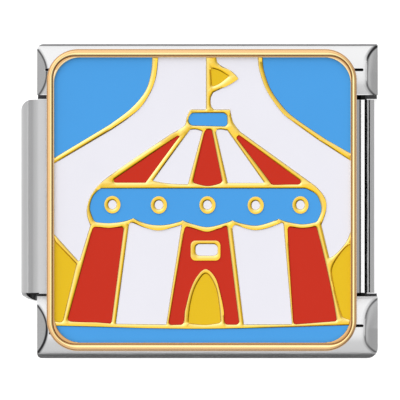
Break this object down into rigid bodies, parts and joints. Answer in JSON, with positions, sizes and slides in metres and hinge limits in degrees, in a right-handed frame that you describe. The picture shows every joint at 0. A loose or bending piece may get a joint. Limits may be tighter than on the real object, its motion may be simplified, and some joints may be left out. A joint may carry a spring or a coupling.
{
  "type": "enamelled charm bracelet link",
  "caption": "Square folded steel bracelet link with a sprung connector underneath and a framed enamel picture of a striped big top tent on its face.",
  "frame": {"origin": "middle of the underside, on the surface that the link lies on", "axes": "+X to the picture's right, +Y to its top, +Z out of the picture"},
  "size_m": [0.0102, 0.009, 0.0037],
  "materials": {
    "steel": "polished stainless steel",
    "rose_gold": "polished rose gold plating",
    "yellow_gold": "polished yellow gold plating",
    "enamel_blue": "smooth glossy enamel",
    "enamel_red": "smooth glossy enamel",
    "enamel_white": "smooth glossy enamel",
    "enamel_yellow": "smooth glossy enamel"
  },
  "bodies": {
    "link": {"steel_shell": "steel", "leaf_spring_top": "steel", "leaf_spring_bottom": "steel", "bezel": "rose_gold", "picture_plate": "yellow_gold", "enamel_sky_left": "enamel_blue", "enamel_sky_right": "enamel_blue", "enamel_field_left": "enamel_white", "enamel_field_right": "enamel_white", "enamel_flag": "enamel_yellow", "enamel_cap": "enamel_blue", "enamel_roof_red_left": "enamel_red", "enamel_roof_white_left": "enamel_white", "enamel_roof_red_middle": "enamel_red", "enamel_roof_white_right": "enamel_white", "enamel_roof_red_right": "enamel_red", "enamel_valance": "enamel_blue", "enamel_ring_1": "enamel_white", "enamel_ring_2": "enamel_white", "enamel_ring_3": "enamel_white", "enamel_ring_4": "enamel_white", "enamel_ring_5": "enamel_white", "enamel_wall_red_left": "enamel_red", "enamel_wall_white_left": "enamel_white", "enamel_wall_red_middle": "enamel_red", "enamel_wall_white_right": "enamel_white", "enamel_wall_red_right": "enamel_red", "enamel_window": "enamel_white", "enamel_door": "enamel_yellow", "enamel_hill_left": "enamel_yellow", "enamel_hill_right": "enamel_yellow", "enamel_ground": "enamel_blue"},
    "connector": {"connector_sleeve": "steel", "hinge_pin": "steel"}
  },
  "joints": [
    {"name": "connector_swing", "type": "hinge", "parent": "link", "child": "connector", "pos_m": [0.00465, 0, 0.00052], "axis": [0, -1, 0], "range_deg": [0, 25], "stiffness_Nm_per_rad": 0.004, "springref_deg": -17.19}
  ]
}
